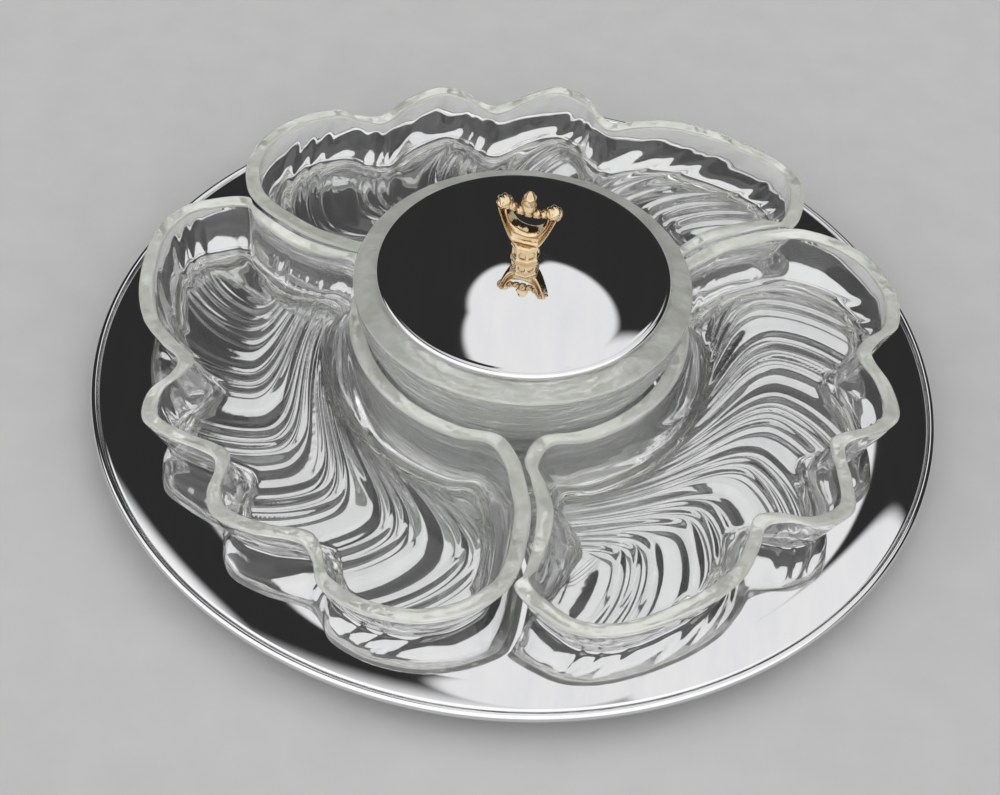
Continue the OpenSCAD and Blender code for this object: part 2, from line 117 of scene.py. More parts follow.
black_enamel = mottled("black_enamel", dark=(0.012, 0.012, 0.013), light=(0.02, 0.02, 0.022),
                       grains=900, rough=(0.2, 0.32), bump=0.00004)
black_rubber = mottled("black_rubber", dark=(0.012, 0.012, 0.012), light=(0.03, 0.029, 0.028),
                       grains=1600, rough=(0.65, 0.85), bump=0.0001)
dress(black_enamel, "base_pan")
dress(black_rubber, "foot_1", "foot_2", "foot_3", "foot_4")

# Ball race between base and tray: two grooved plates of zinc plated steel, a nylon cage and sixteen
# steel balls. Four rivets hold each plate.
race_steel = mottled("race_steel", dark=(0.42, 0.43, 0.45), light=(0.58, 0.58, 0.57),
                     grains=260, rough=(0.24, 0.42), bump=0.00003, metal=1.0)
ball_steel = mottled("ball_steel", dark=(0.55, 0.56, 0.57), light=(0.66, 0.66, 0.66),
                     grains=400, rough=(0.06, 0.14), metal=1.0)
bright_zinc = mottled("bright_zinc", dark=(0.52, 0.53, 0.54), light=(0.68, 0.67, 0.64),
                      grains=700, rough=(0.2, 0.36), bump=0.00003, metal=1.0)
natural_nylon = mottled("natural_nylon", dark=(0.6, 0.52, 0.38), light=(0.7, 0.62, 0.46),
                        grains=500, rough=(0.38, 0.52), bump=0.00005)
dress(race_steel, "lower_race", "upper_race")
dress(bright_zinc, "lower_race_rivets", "upper_race_rivets")
dress(natural_nylon, "ball_cage")
dress(ball_steel, "bearing_balls")

# Tray: a disc of sheet steel, spun to a drooping brim with a rolled edge and chrome plated bright.
# It is riveted to the upper race, and the dishes and the bowl stand loose on it. From here on,
# sizes of pieces are in millimetres and names that end in _a are angles in degrees.
mm = 0.001
tray_r = 203
tray_hole_r = 3.1
tray_flat_r = 172
tray_fall = 5.5
tray_edge_r = 2.2
tray_sheet = 1.2
tray_under_z = 22.6
tray_top_z = tray_under_z + tray_sheet
tray_bead_r = tray_r - tray_edge_r
tray_bead_z = tray_top_z - tray_fall - tray_sheet / 2
tray_sharp_a = 40
spin_columns = 360


def arc(centre, radius, start, end, steps):
    """Points in the plane of a section, on part of a circle."""
    angles = np.radians(np.linspace(start, end, steps))
    return [(centre[0] + radius * np.cos(a), centre[1] + radius * np.sin(a)) for a in angles]


def make_piece(name, points, faces, material, sharp=None):
    """Smooth piece from points in millimetres, with edges kept sharp above an angle in degrees."""
    mesh = bpy.data.meshes.new(name)
    mesh.from_pydata((np.asarray(points) * mm).tolist(), [], faces)
    mesh.materials.append(material)
    shape = bmesh.new()
    shape.from_mesh(mesh)
    bmesh.ops.recalc_face_normals(shape, faces=shape.faces)
    shape.to_mesh(mesh)
    shape.free()
    mesh.shade_smooth()
    if sharp:
        mesh.set_sharp_from_angle(angle=np.radians(sharp))
    piece = bpy.data.objects.new(name, mesh)
    bpy.context.scene.collection.objects.link(piece)
    return piece


def strip_faces(rows, columns, close_rows, close_columns):
    """Four-sided faces over a net of points, kept row by row."""
    faces = []
    for i in range(rows if close_rows else rows - 1):
        for k in range(columns if close_columns else columns - 1):
            a = i * columns
            b = (i + 1) % rows * columns
            m = (k + 1) % columns
            faces.append((a + k, a + m, b + m, b + k))
    return faces


def spin(name, section, material, sharp=None):
    """Piece turned from a closed section, given as (radius, height) anticlockwise."""
    section = np.array(section)
    angles = np.linspace(0, 2 * np.pi, spin_columns, endpoint=False)
    radius, height = section[:, :1], section[:, 1:]
    points = np.stack([radius * np.cos(angles), radius * np.sin(angles),
                       np.repeat(height, spin_columns, 1)], -1).reshape(-1, 3)
    faces = strip_faces(len(section), spin_columns, True, True)
    return make_piece(name, points, faces, material, sharp)


def mirror_chrome():
    """Chrome plate: a mirror with the faint waves of spun sheet and a breath of fine wipe marks."""
    material, tree, shader, place = new_finish("mirror_chrome")
    waves = add_noise(tree, place, per_metre=14, detail=1.0)
    wipes = add_noise(tree, place, per_metre=90, detail=4.0, stretch=(1, 0.2, 1))
    plate = tint(tree, wipes, dark=(0.78, 0.785, 0.8), light=(0.84, 0.84, 0.845))
    tree.links.new(plate, shader.inputs["Base Color"])
    tree.links.new(spread(tree, wipes, low=0.02, high=0.05), shader.inputs["Roughness"])
    shader.inputs["Metallic"].default_value = 1.0
    press_bump(tree, shader, waves, height=0.00012)
    return material


def brim(z):
    """Drooping brim from the flat floor out to the rolled edge, on the top or the underside."""
    share = np.linspace(0, 1, 40)
    return [(tray_flat_r + (tray_bead_r - tray_flat_r) * t, z - tray_fall * t * t) for t in share]


chrome = mirror_chrome()
tray_section = [(r, tray_under_z) for r in np.linspace(tray_hole_r, tray_flat_r, 20)]
tray_section += brim(tray_under_z)[1:-3]
tray_section += arc((tray_bead_r, tray_bead_z), tray_edge_r, -165, 150, 40)
tray_section += brim(tray_top_z)[-4:0:-1]
tray_section += [(r, tray_top_z) for r in np.linspace(tray_flat_r, tray_hole_r, 20)]
tray = spin("spun_tray", tray_section, chrome, tray_sharp_a)
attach(tray, "tray")
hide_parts("tray")

# Pivot: a low round-headed bolt down through tray and base, with a washer and a nut below, all of
# bright zinc plated steel.
dress(bright_zinc, "pivot_bolt", "pivot_washer", "pivot_nut")

# Three alike dishes of clear pressed glass, which stand loose on the tray, each a third of a turn
# from the next. Inside, ribs spring from the wall at one end, comb over the floor like hair and
# hook back up the lobed outer wall.
stand_z = 23.9
dish_h = 27
dish_in_r = 73
nest_from_r = 80
notch_r = 163
lobe_r = 186.5
corner_r = nest_from_r + 6
corner_a = 4.4
dish_gap = 2.4
seam_a = -91
dish_step = 120
far_a = seam_a + dish_step
rim_w = 6
rim_round = 1.4
dish_floor = 5
wall_taper = 11.5
foot_bevel = 1.6
foot_ring = 4
dish_recess = 1.4
cove_w = 15
rib_h = 1.4
rib_pitch_a = 5.2
rib_share = 0.7
rib_steepness = 0.14
outside_rib_share = -0.5
spine_from_a = seam_a + 28
spine_to_a = far_a - 20
spine_r = 130
spine_points = 161
fan_r = 117
rim_point_gap = 1.15
weld = 0.01


def polar(radius, angle):
    """Point or points in plan from a radius and an angle in degrees."""
    angle = np.radians(angle)
    return np.stack([radius * np.cos(angle), radius * np.sin(angle)], -1)


def plan_angle(plan):
    """Angles in degrees of points in plan."""
    return np.degrees(np.arctan2(plan[:, 1], plan[:, 0]))


def spine_angle(plan):
    """Angles of the places on the spine that points in plan draw in to."""
    return np.clip(plan_angle(plan), spine_from_a, spine_to_a)


def between(a, b, t):
    """Value a share t of the way from a to b."""
    return a + (b - a) * t


def ramp(value, start, end):
    """Share from nothing at start to one at end, level beyond them."""
    return np.clip((value - start) / (end - start), 0, 1)


def rim_outline(step):
    """Closed curve of the rim. Along the spine, both of its sides have points at the same angles."""
    # The wall that nests into the next dish: share of the way out to the notch, angle past the seam.
    nest = [(0.22, 6), (0.43, 6.9), (0.67, 5.6), (0.86, 3.9)]
    # The lobed wall: angle past the seam, share of the way out from a notch to a lobe.
    lobes = [(3, -0.2), (6, 0.3), (11, 0.83), (18, 0.98), (28, 0.83), (36, 0.59), (41.5, 0.22),
             (45.7, -0.09), (49, 0.11), (52, 0.6), (57, 0.85), (62, 0.48), (66, 0.13),
             (68.6, 0.02), (71, 0.2), (73.7, 0.58), (77.7, 0.8), (83.5, 0.56), (88, 0.24),
             (90.6, 0.18), (93.4, 0.4), (96.6, 0.82), (103, 1), (110, 0.89), (116, 0.54), (121, 0)]
    inner_from_a = seam_a + 11
    inner_to_a = far_a - 3

    def gap_a(radius):
        return np.degrees(dish_gap / 2 / radius)

    nest = [(between(nest_from_r, notch_r, share), a) for share, a in nest]
    keys = [polar(corner_r, seam_a + corner_a + gap_a(nest_from_r))]
    keys += [polar(r, seam_a + a + gap_a(r)) for r, a in nest]
    keys += [polar(between(notch_r, lobe_r, share), seam_a + a) for a, share in lobes]
    keys += [polar(r, far_a + a - gap_a(r)) for r, a in reversed(nest)]
    keys += [polar(corner_r, far_a + corner_a - gap_a(nest_from_r))]
    keys += [polar(dish_in_r, a) for a in np.linspace(inner_to_a, inner_from_a, 9)]

    def curve(length):
        """Smooth curve through the keys, with points about a length apart."""
        points = []
        count = len(keys)
        for i in range(count):
            a, b, c, d = (keys[(i + k) % count] for k in (-1, 0, 1, 2))
            cuts = max(1, round(np.linalg.norm(c - b) / length))
            for t in np.arange(cuts) / cuts:
                points.append(0.5 * (2 * b + (c - a) * t + (2 * a - 5 * b + 4 * c - d) * t * t
                                     + (3 * b - a - 3 * c + d) * t ** 3))
        return np.array(points)

    def sides(points):
        """Radii and angles of points, and which of them lie outside and inside the spine."""
        radius = np.hypot(*points.T)
        angle = plan_angle(points)
        middle = (angle > spine_from_a) & (angle < spine_to_a)
        return radius, angle, middle & (radius > spine_r), middle & (radius < spine_r)

    fine_r, fine_a, outer, inner = sides(curve(step / 10))
    even_a = np.linspace(spine_from_a, spine_to_a, spine_points)
    outer_side = polar(np.interp(even_a, fine_a[outer], fine_r[outer]), even_a)
    inner_side = polar(np.interp(even_a, fine_a[inner][::-1], fine_r[inner][::-1]), even_a)
    points = curve(step)
    outer, inner = (np.flatnonzero(side) for side in sides(points)[2:])
    # The point of the curve next to each join is left out, because it may lie on the join.
    return np.concatenate([points[:outer[0] - 1], outer_side, points[outer[-1] + 2:inner[0] - 1],
                           inner_side[::-1], points[inner[-1] + 2:]])


def inset(plan, depth):
    """Draws the rim in towards a curved spine along the middle of the dish."""
    away = polar(spine_r, spine_angle(plan)) - plan
    return plan + away * (depth / np.linalg.norm(away, axis=1))[:, None]


def fan(plan, share):
    """Draws the edge of the floor in towards a curve beside the bowl."""
    return between(plan, polar(fan_r, spine_angle(plan)), share)


def flow(x, y):
    """Number of the rib at a place in plan: round the bowl at first, then out to the lobed wall."""
    root_a = 10
    reach_r = 132
    reach_w = 50
    reach = 88
    reach_power = 1.35
    hook_r = 124
    hook_w = 31
    hook_a = 6.5
    hook_power = 1.6
    bunch = 0.35
    bunch_every = 3.4
    radius = np.hypot(x, y)
    angle = np.degrees(np.arctan2(y, x)) - seam_a
    hook = hook_a * np.clip((radius - hook_r) / hook_w, 0, None) ** hook_power
    out = np.clip(angle - root_a + hook, 0, None)
    along = reach * np.clip((reach_r - radius) / reach_w, 0, None) ** reach_power
    number = np.hypot(out, along) / rib_pitch_a
    return number + bunch * np.sin(number * 2 * np.pi / bunch_every)


def rib(plan):
    """Height of the rounded ribs at places in plan, lower where they run close together."""
    rib_from_a = 7
    rib_full_a = 12
    rib_fade_a = 113
    rib_to_a = 120
    near_smooth_r = 78
    far_smooth_r = 88
    near_smooth_a = 60
    far_smooth_a = 85
    rise_w = 7
    step = 0.05
    least_slope = 0.02
    x, y = plan.T
    here = flow(x, y)
    slope = np.hypot(flow(x + step, y) - here, flow(x, y + step) - here) / step
    width = 1 / np.maximum(slope, least_slope)
    across = 2 * (here - np.floor(here)) - 1
    crown = np.clip(1 - (across / rib_share) ** 2, 0, 1) ** 1.5
    angle = plan_angle(plan) - seam_a
    ends = ramp(angle, rib_from_a, rib_full_a) * ramp(angle, rib_to_a, rib_fade_a)
    smooth_r = between(near_smooth_r, far_smooth_r, ramp(angle, near_smooth_a, far_smooth_a))
    inner = np.clip((np.hypot(x, y) - smooth_r) / rise_w, 0, 1)
    return np.minimum(rib_h, rib_steepness * width) * crown * ends * inner


def dish_rings():
    """Rings of points from the middle of the underside, out and over the rim, to the floor."""
    under_rings = 14
    recess_rings = 6
    bevel_rings = 5
    wall_rings = 22
    rim_rings = 6
    round_rings = 8
    cove_rings = 30
    floor_rings = 52
    rib_growth = 2.5
    rib_delay = 0.35
    rim = rim_outline(rim_point_gap)
    foot_in = wall_taper + foot_bevel
    recess_in = foot_in + foot_ring + dish_recess
    floor_in = rim_w + rim_round + cove_w
    top = dish_h - rim_round
    rings = []

    def ring(depth, height, share=0.0, ribs=0.0, lean=0.0):
        """Adds the rim drawn in by a depth, with ribs that stand out at an angle of lean."""
        raised = ribs * rib(fan(inset(rim, depth), share))
        plan = fan(inset(rim, depth + raised * np.cos(lean)), share)
        rings.append(np.column_stack([plan, height + raised * np.sin(lean)]))

    for share in np.linspace(1, 0, under_rings):
        ring(recess_in + foot_ring, dish_recess, share)
    for t in np.linspace(0, 1, recess_rings):
        ring(recess_in - (recess_in - foot_in - foot_ring) * t, dish_recess * (1 - t))
    ring(foot_in + foot_ring / 2, 0)
    for a in np.radians(np.linspace(0, 80, bevel_rings)):
        ring(foot_in - foot_bevel * np.sin(a), foot_bevel * (1 - np.cos(a)))
    for t in np.linspace(0, 1, wall_rings)[:-1]:
        ring(wall_taper * (1 - t), between(foot_bevel, top, t),
             ribs=outside_rib_share * np.sin(np.pi * t))
    rim_from = len(rings)
    for a in np.radians(np.linspace(0, 90, round_rings)):
        ring(rim_round * (1 - np.cos(a)), top + rim_round * np.sin(a))
    for t in np.linspace(0, 1, rim_rings)[1:-1]:
        ring(between(rim_round, rim_w, t), dish_h)
    for a in np.radians(np.linspace(0, 90, round_rings)):
        ring(rim_w + rim_round * np.sin(a), top + rim_round * np.cos(a))
    rim_to = len(rings) - 1
    for a in np.radians(np.linspace(0, 90, cove_rings))[1:]:
        ring(rim_w + rim_round + cove_w * (1 - np.cos(a)),
             dish_floor + (top - dish_floor) * (1 - np.sin(a)),
             ribs=np.clip(rib_growth * np.sin(a) - rib_delay, 0, 1), lean=a)
    for share in np.linspace(0, 1, floor_rings)[1:]:
        ring(floor_in, dish_floor, share, ribs=1.0, lean=np.pi / 2)
    return np.array(rings), rim_from, rim_to


def turn_about_axis(points, angle):
    """Points turned about the axis of the tray, by an angle in degrees."""
    angle = np.radians(angle)
    return points @ np.array([[np.cos(angle), np.sin(angle), 0],
                              [-np.sin(angle), np.cos(angle), 0],
                              [0, 0, 1]])


def close_seams(piece):
    """Welds the two seams where the first and the last ring have drawn together into a line."""
    shape = bmesh.new()
    shape.from_mesh(piece.data)
    seams = [vert for vert in shape.verts if vert.is_boundary]
    bmesh.ops.remove_doubles(shape, verts=seams, dist=weld * mm)
    bmesh.ops.recalc_face_normals(shape, faces=shape.faces)
    shape.to_mesh(piece.data)
    shape.free()
    piece.data.shade_smooth()


def second_finish(piece, material, columns, first, last):
    """Gives the rows of faces from first to last another finish."""
    piece.data.materials.append(material)
    marks = np.zeros(len(piece.data.polygons), dtype=np.int32)
    marks[first * columns:last * columns] = 1
    piece.data.polygons.foreach_set("material_index", marks)


def clear_glass(name, clearness, dark, light, grains, wave_height, stretch=(1, 1, 1)):
    """Soda glass with the soft waves of a pressed or a ground surface, their height in metres."""
    material, tree, shader, place = new_finish(name)
    ripple = add_noise(tree, place, grains, detail=2.5, stretch=stretch)
    tree.links.new(tint(tree, ripple, dark, light), shader.inputs["Base Color"])
    shader.inputs["Roughness"].default_value = 0.0
    shader.inputs["IOR"].default_value = 1.5
    shader.inputs["Transmission Weight"].default_value = clearness
    press_bump(tree, shader, ripple, wave_height)
    return material


pressed_glass = clear_glass("pressed_glass", clearness=0.97, dark=(0.97, 0.985, 0.97),
                            light=(1, 1, 1), grains=120, wave_height=0.0001)
ground_rim = clear_glass("ground_rim", clearness=0.55, dark=(0.8, 0.84, 0.72),
                         light=(1, 1, 0.96), grains=80, wave_height=0.0022)
dish_net, rim_from, rim_to = dish_rings()
dish_columns = dish_net.shape[1]
dish_faces = strip_faces(len(dish_net), dish_columns, False, True)
for number in (1, 2, 3):
    dish_points = turn_about_axis(dish_net.reshape(-1, 3), (number - 1) * dish_step)
    dish = make_piece(f"glass_dish_{number}", dish_points + (0, 0, stand_z), dish_faces, pressed_glass)
    second_finish(dish, ground_rim, dish_columns, rim_from, rim_to)
    close_seams(dish)
    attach(dish, f"dish_{number}")
    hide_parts(f"dish_{number}")

# Bowl: clear pressed glass, thick in the wall, on a foot ring. Its sloping rim has a flat seat for
# the lid. It stands loose in the ring of dishes.
bowl_r = 78.8
bowl_h = 56
bowl_axis_r = 0.01
bowl_foot_r = 58
bowl_foot_ring = 6
bowl_foot_round = 0.6
bowl_heel_round = 0.8
bowl_recess = 3.6
bowl_recess_taper = 2
bowl_floor = 7.6
bowl_edge = 1.2
bowl_rim_drop = 2
bowl_rim_lift = 0.15
bowl_seat_r = 70
bowl_mouth_r = 63.8
bowl_mouth_round = 0.8
bowl_mouth_depth = 1.5
bowl_inside_r = 61.3
bowl_inside_z = 25.2
bowl_cove_w = 27
bowl_wall_h = bowl_h - bowl_rim_drop - 2 * bowl_edge
bowl_flare = 1.35
ripple_h = 0.25
ripples = 7.5
fine_ripples = 17
fine_ripple_share = 0.7


def bowl_wall(t):
    """Outside of the wall, which flares and carries soft turned ripples."""
    waves = np.sin(t * 2 * np.pi * ripples) + fine_ripple_share * np.sin(t * 2 * np.pi * fine_ripples + 1)
    ripple = ripple_h * waves * np.sin(np.pi * t)
    radius = between(bowl_foot_r, bowl_r - bowl_edge / 2, np.sin(np.pi / 2 * t) ** bowl_flare)
    return (radius + ripple, bowl_wall_h * t)


bowl_section = [(bowl_axis_r, bowl_recess)]
bowl_section += [(bowl_foot_r - bowl_foot_ring - bowl_recess_taper, bowl_recess)]
bowl_section += arc((bowl_foot_r - bowl_foot_ring + bowl_foot_round, bowl_foot_round),
                    bowl_foot_round, 180, 270, 5)
bowl_section += arc((bowl_foot_r - bowl_heel_round, bowl_heel_round), bowl_heel_round, 270, 350, 6)
bowl_section += [bowl_wall(t) for t in np.linspace(0.03, 1, 150)]
slope_from = len(bowl_section)
bowl_section += arc((bowl_r - bowl_edge, bowl_wall_h + bowl_edge), bowl_edge, -10, 75, 10)
bowl_section += [(between(bowl_r - bowl_edge, bowl_seat_r, t),
                  between(bowl_h - bowl_rim_drop + bowl_rim_lift, bowl_h, t))
                 for t in np.linspace(0.1, 1, 8)]
slope_to = len(bowl_section)
bowl_section += arc((bowl_mouth_r + bowl_mouth_round, bowl_h - bowl_mouth_round),
                    bowl_mouth_round, 90, 180, 8)
bowl_section += [(between(bowl_mouth_r, bowl_inside_r, t),
                  between(bowl_h - bowl_mouth_depth, bowl_inside_z, t)) for t in np.linspace(0, 1, 20)]
bowl_section += [(bowl_inside_r - bowl_cove_w * (1 - np.cos(a)),
                  between(bowl_inside_z, bowl_floor, np.sin(a)))
                 for a in np.radians(np.linspace(0, 90, 40))[1:]]
bowl_section += [(bowl_axis_r, bowl_floor)]
bowl_glass = clear_glass("bowl_glass", clearness=0.84, dark=(0.88, 0.91, 0.86),
                         light=(1, 1, 0.99), grains=30, wave_height=0.002, stretch=(1, 1, 7))
bowl_rim = clear_glass("bowl_rim", clearness=0.58, dark=(0.78, 0.81, 0.72),
                       light=(1, 1, 0.97), grains=60, wave_height=0.004)
bowl = spin("glass_bowl", [(r, z + stand_z) for r, z in bowl_section], bowl_glass)
second_finish(bowl, bowl_rim, spin_columns, slope_from, slope_to)
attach(bowl, "bowl")
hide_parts("bowl")

# Lid: spun from sheet steel to a low dome with a rolled edge and chrome plated like the tray. A
# skirt below keeps it in the mouth of the bowl.
lid_top_z = 93.0
lid_sheet = 0.9
lid_hole_r = 2.1
lid_flat_r = 7.7
lid_edge_r = 66.4
lid_bead_r = 2.0
lid_bead_z = 82.0
lid_rise = 9
lid_dome_power = 1.7
lid_skirt_r = 63.2
lid_skirt_t = 0.8
lid_skirt_z = 73.9
lid_skirt_in_r = lid_skirt_r - lid_skirt_t
lid_sharp_a = 40


def dome(below):
    """Top or underside of the dome from its flat middle out to the rolled edge."""
    share = np.linspace(0, 1, 60)
    return [(between(lid_flat_r, lid_edge_r, t), lid_top_z - below - lid_rise * t ** lid_dome_power)
            for t in share]


lid_section = [(lid_hole_r, lid_top_z - lid_sheet)]
lid_section += dome(lid_sheet)[:-2]
lid_section += [(lid_skirt_in_r, lid_bead_z + lid_sheet), (lid_skirt_in_r, lid_skirt_z)]
lid_section += [(lid_skirt_r, lid_skirt_z), (lid_skirt_r, lid_bead_z)]
lid_section += arc((lid_edge_r, lid_bead_z), lid_bead_r, -170, 100, 36)
lid_section += dome(0)[-2::-1]
lid_section += [(lid_hole_r, lid_top_z)]
lid = spin("spun_lid", lid_section, chrome, lid_sharp_a)
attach(lid, "lid")
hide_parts("lid")

# Finial: one casting of a faceted collar, a moulded loop that widens out of it, a rose on each horn,
# a swag of small flowers and a rosebud. It is plated pale gold, with painted shade darkening its hollows.
finial_a = -14
finial_sharp_a = 50
collar_r = 6.5
collar_h = 10
facet_a = 45
arch_half = 0.62
arch_from_z = 2.4
arch_spring_z = 4.6
arch_rise = 1.7
arch_depth = 0.6
loop_half_w = 14
loop_h = 18
loop_side_w = 4.7
loop_foot_w = 6.5
loop_neck = 0.3
loop_flare = 0.8
loop_sunk = 0.5
horn_x = 11.5
horn_z = 29
rose_r = 4
rose_petals = 5
swag_flowers = 5
swag_drop = 3
swag_r = 2.4
swag_petals = 4
bud_r = 4
bud_h = 12
bud_z = 26.5


def join_nets(nets):
    """Points and faces of several nets in one list. Each net closes round its columns."""
    points, faces = [], []
    for net in nets:
        rows, columns = net.shape[:2]
        start = sum(len(p) for p in points)
        faces += [[start + k for k in face] for face in strip_faces(rows, columns, False, True)]
        faces += [[start + k for k in reversed(range(columns))]]
        faces += [[start + (rows - 1) * columns + k for k in range(columns)]]
        points.append(net.reshape(-1, 3))
    return np.concatenate(points), faces


def collar_net():
    """Octagonal collar with a foot, a lip and an arched hollow in every facet."""
    half_a = facet_a / 2
    heights = np.linspace(0, collar_h, 48)
    around = np.linspace(0, 360, 128, endpoint=False)
    facet = (around + half_a) % facet_a - half_a
    flat = collar_r / np.cos(np.radians(facet))
    across = np.tan(np.radians(facet)) / np.tan(np.radians(half_a))
    outline = np.interp(heights, [0, 1.3, 1.9, 6.7, 7.3, 8.8, 9.6, 10],
                        [1, 1, 0.92, 0.9, 1.02, 1.02, 0.9, 0.7])
    arch_top = arch_spring_z + arch_rise * np.sqrt(np.clip(1 - (across / arch_half) ** 2, 0, 1))
    level = heights[:, None]
    hollow = (np.abs(across) < arch_half) & (level > arch_from_z) & (level < arch_top)
    radius = outline[:, None] * flat - arch_depth * hollow
    angle = np.radians(around)
    return np.stack([radius * np.cos(angle), radius * np.sin(angle),
                     np.repeat(level, len(around), 1)], -1)


def loop_net():
    """Half ring that widens up out of the collar, with a bead outside, a hollow and an inner ridge."""
    along = np.linspace(-1, 1, 97)[:, None]
    climb = np.clip((np.abs(along) - loop_neck) / (1 - loop_neck), 0, 1)
    foot = collar_r * np.clip(np.abs(along) / loop_neck, 0, 1)
    outer_x = np.sign(along) * (foot + (loop_half_w - collar_r) * climb ** loop_flare)
    outer_z = collar_h - loop_sunk + (loop_h + loop_sunk) * climb
    inner_x = (loop_half_w - loop_side_w) * np.sin(np.pi / 2 * along)
    inner_z = collar_h + loop_h - (loop_h - loop_foot_w) * np.cos(np.pi / 2 * along)
    cuts = np.linspace(0, 1, 28)
    depth = np.interp(cuts, [0, 0.05, 0.14, 0.24, 0.32, 0.44, 0.56, 0.66, 0.8, 0.93, 1],
                      [2.6, 3.6, 4, 3.6, 2.4, 1.6, 1.7, 2.8, 4, 3.4, 2])
    inward = np.concatenate([cuts, cuts[::-1]])
    depth = np.concatenate([-depth, depth[::-1]])
    return np.stack([between(outer_x, inner_x, inward), depth + 0 * along,
                     between(outer_z, inner_z, inward)], -1)


def flower_net(radius, petals, place):
    """Rose seen from the front: petals round a raised eye."""
    heart = 0.82
    petal_size = 0.18
    petal_twist = 1.5
    eye_rise = 0.16
    eye_w = 0.32
    fold = np.radians(np.linspace(3, 177, 40))[:, None]
    turn = np.linspace(0, 2 * np.pi, 80, endpoint=False)
    petal = np.abs(np.cos(petals / 2 * turn + petal_twist * np.sin(fold * 2)))
    size = radius * (heart + petal_size * petal * np.sin(fold) ** 0.5
                     + eye_rise * np.exp(-(np.sin(fold) / eye_w) ** 2))
    return np.stack([size * np.sin(fold) * np.cos(turn), -size * np.cos(fold) + 0 * turn,
                     size * np.sin(fold) * np.sin(turn)], -1) + place


def bud_net(radius, height, place):
    """Pointed bud with petals that wrap round it."""
    wrap_depth = 0.16
    wrap_lean = 3.2
    rise = np.linspace(0, 1, 40)[:, None]
    turn = np.linspace(0, 2 * np.pi, 60, endpoint=False)
    outline = np.interp(rise, [0, 0.12, 0.4, 0.7, 0.92, 1], [0.3, 0.72, 1, 0.8, 0.34, 0.04])
    wrap = 1 - wrap_depth * np.abs(np.sin(1.5 * turn + wrap_lean * rise)) * np.sin(np.pi * rise)
    size = radius * outline * wrap
    return np.stack([size * np.cos(turn), size * np.sin(turn), height * rise + 0 * turn], -1) + place


def pale_gold():
    """Polished pale gold plate, with painted shade in the hollows of the casting."""
    material, tree, shader, place = new_finish("pale_gold")
    cloud = add_noise(tree, place, per_metre=320)
    # Painted shade: an ambient occlusion mask blends dark brown into the gold where the casting is
    # hollow.
    hollow = tree.nodes.new("ShaderNodeAmbientOcclusion")
    hollow.inputs["Distance"].default_value = 0.003
    mix = tree.nodes.new("ShaderNodeMix")
    mix.data_type = "RGBA"
    mix.inputs["A"].default_value = (0.28, 0.16, 0.07, 1)
    tree.links.new(hollow.outputs["AO"], mix.inputs["Factor"])
    tree.links.new(tint(tree, cloud, dark=(0.64, 0.48, 0.28), light=(0.82, 0.66, 0.43)), mix.inputs["B"])
    tree.links.new(mix.outputs["Result"], shader.inputs["Base Color"])
    tree.links.new(spread(tree, cloud, low=0.05, high=0.14), shader.inputs["Roughness"])
    shader.inputs["Metallic"].default_value = 1.0
    press_bump(tree, shader, cloud, height=0.0002)
    return material


nets = [collar_net(), loop_net(), bud_net(bud_r, bud_h, (0, 0, bud_z))]
nets += [flower_net(rose_r, rose_petals, (side * horn_x, 0, horn_z)) for side in (-1, 1)]
for share in np.linspace(-1, 1, swag_flowers + 2)[1:-1]:
    swag_z = horn_z - swag_drop * (1 - share * share)
    nets.append(flower_net(swag_r, swag_petals, (share * horn_x, 0, swag_z)))
finial_points, finial_faces = join_nets(nets)
finial_points = turn_about_axis(finial_points, finial_a) + (0, 0, lid_top_z)
finial = make_piece("gold_finial", finial_points, finial_faces, pale_gold(), finial_sharp_a)
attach(finial, "lid")
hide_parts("finial")

# Finial screw and its washer, both of bright zinc plated steel. The screw goes up through the
# washer and the lid from inside, and holds the finial.
dress(bright_zinc, "finial_screw", "finial_washer")

# Floor: a plain pale sheet of matt paper under the feet. It is 80 m wide, so that from any side it
# reaches to the horizon.
floor_half = 40
floor_corners = [(x * floor_half, y * floor_half, 0) for x, y in ((-1, -1), (1, -1), (1, 1), (-1, 1))]
floor_mesh = bpy.data.meshes.new("paper_floor")
floor_mesh.from_pydata(floor_corners, [], [(0, 1, 2, 3)])
floor_mesh.materials.append(mottled("pale_paper", dark=(0.6, 0.6, 0.6), light=(0.63, 0.63, 0.625),
                                    grains=40, rough=(0.8, 0.9)))
floor = bpy.data.objects.new("paper_floor", floor_mesh)
bpy.context.scene.collection.objects.link(floor)

# Light: a dim studio with soft round lamps above and behind and on both sides, and one wide soft
# panel in front. The chrome and the glass mirror them.
room_light = 0.03
scene = bpy.context.scene
scene.view_settings.view_transform = "Standard"
scene.cycles.max_bounces = 32
scene.cycles.glossy_bounces = 16
scene.cycles.transmission_bounces = 32
scene.world = bpy.data.worlds.new("studio")
scene.world.use_nodes = True
sky = scene.world.node_tree
sky_way = sky.nodes.new("ShaderNodeTexCoord").outputs["Generated"]


def sky_math(operation, *values):
    """One step of arithmetic on numbers or sockets."""
    step = sky.nodes.new("ShaderNodeMath")
    step.operation = operation
    for socket, value in zip(step.inputs, values):
        if isinstance(value, (int, float)):
            socket.default_value = value
        else:
            sky.links.new(value, socket)
    return step.outputs[0]


def share_along(axis):
    """Share of the looking direction along an axis."""
    dot = sky.nodes.new("ShaderNodeVectorMath")
    dot.operation = "DOT_PRODUCT"
    dot.inputs[1].default_value = axis
    sky.links.new(sky_way, dot.inputs[0])
    return dot.outputs["Value"]


def fade(source, dark_at, lit_at):
    """Soft edge of a lamp, from nothing at one value to one at another."""
    edge = sky.nodes.new("ShaderNodeMapRange")
    edge.interpolation_type = "SMOOTHSTEP"
    edge.inputs["From Min"].default_value = dark_at
    edge.inputs["From Max"].default_value = lit_at
    sky.links.new(source, edge.inputs["Value"])
    return edge.outputs["Result"]


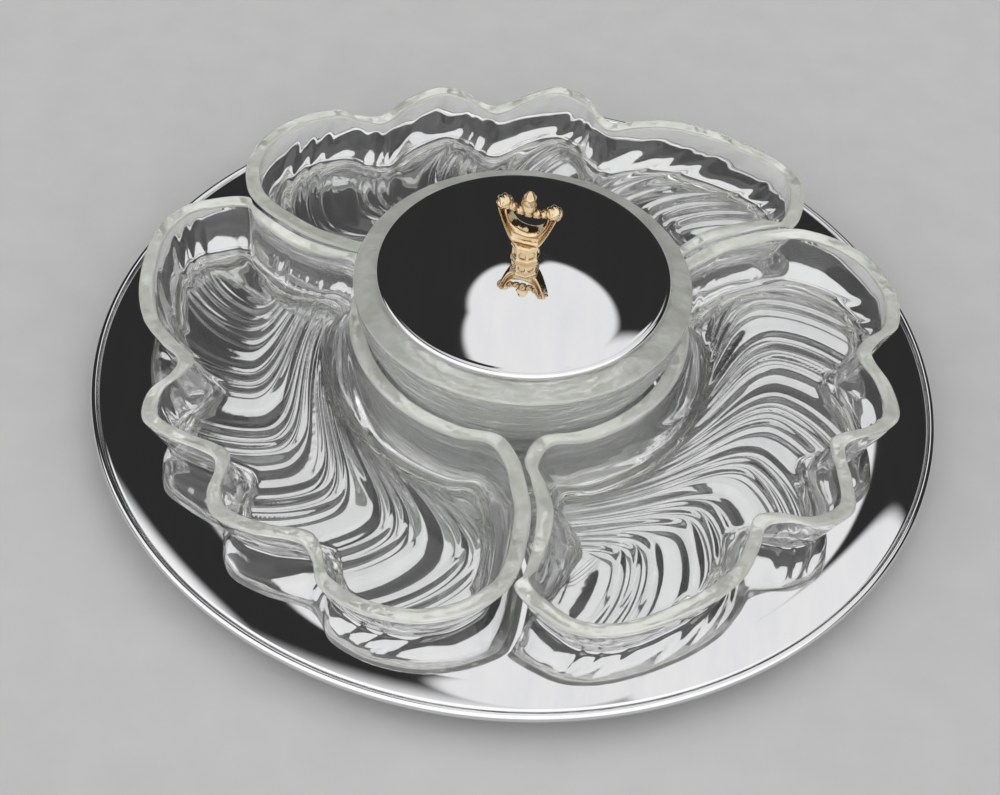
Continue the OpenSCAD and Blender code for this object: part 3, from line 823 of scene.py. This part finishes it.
def sky_place(azimuth, elevation):
    """Direction in the sky. Azimuth 0 is behind the tray and turns to the right."""
    azimuth, elevation = np.radians([azimuth, elevation])
    return Vector((np.sin(azimuth) * np.cos(elevation), np.cos(azimuth) * np.cos(elevation),
                   np.sin(elevation)))


def soft_disc(azimuth, elevation, radius, softness, brightness):
    """Round lamp in the sky, with its radius and the softness of its edge in degrees."""
    outside, inside = np.cos(np.radians([radius + softness, radius - softness]))
    lit = fade(share_along(sky_place(azimuth, elevation)), outside, inside)
    return sky_math("MULTIPLY", lit, brightness)


def soft_panel(azimuth, elevation, half_w, half_h, softness, brightness):
    """Square-cornered panel in the sky, with its half width and half height in degrees."""
    middle = sky_place(azimuth, elevation)
    across = middle.cross((0, 0, 1)).normalized()
    ahead = share_along(middle)
    lit = sky_math("GREATER_THAN", ahead, 0.0)
    for axis, half in ((across, half_w), (across.cross(middle), half_h)):
        offset = sky_math("ABSOLUTE", sky_math("DIVIDE", share_along(axis), ahead))
        outside, inside = np.tan(np.radians([half + softness, half - softness]))
        lit = sky_math("MULTIPLY", lit, fade(offset, outside, inside))
    return sky_math("MULTIPLY", lit, brightness)


lamps = [soft_disc(azimuth=8, elevation=58, radius=14.5, softness=0.8, brightness=0.9),
         soft_disc(azimuth=8, elevation=65, radius=14, softness=0.8, brightness=0.9),
         soft_disc(azimuth=73, elevation=56, radius=21, softness=1.5, brightness=0.9),
         soft_disc(azimuth=40, elevation=82, radius=10, softness=1.5, brightness=0.9),
         soft_disc(azimuth=102, elevation=40, radius=22, softness=3, brightness=0.9),
         soft_disc(azimuth=268, elevation=38, radius=26, softness=3, brightness=1.0),
         soft_panel(azimuth=185, elevation=46, half_w=74, half_h=42, softness=8, brightness=1.2)]
brightest = lamps[0]
for lamp in lamps[1:]:
    brightest = sky_math("MAXIMUM", brightest, lamp)
sky.links.new(sky_math("ADD", brightest, room_light), sky.nodes["Background"].inputs["Strength"])
sky.nodes["Background"].inputs["Color"].default_value = (1, 1, 1, 1)

# Camera: above and in front of the tray, a little rolled, as the photograph was taken. Its sensor
# and lens are in millimetres and its roll is in radians.
camera_data = bpy.data.cameras.new("camera")
camera_data.sensor_width = 36
camera_data.lens = 70.83
camera = bpy.data.objects.new("camera", camera_data)
eye = Vector((-6.58, -666.4, 701.5)) * mm
aim = Vector((-6.58, -19.21, 17.7)) * mm
roll = 0.07696
camera.location = eye
camera.rotation_mode = "QUATERNION"
camera.rotation_quaternion = (aim - eye).to_track_quat("-Z", "Y") @ Quaternion((0, 0, 1), roll)
scene.collection.objects.link(camera)
scene.camera = camera
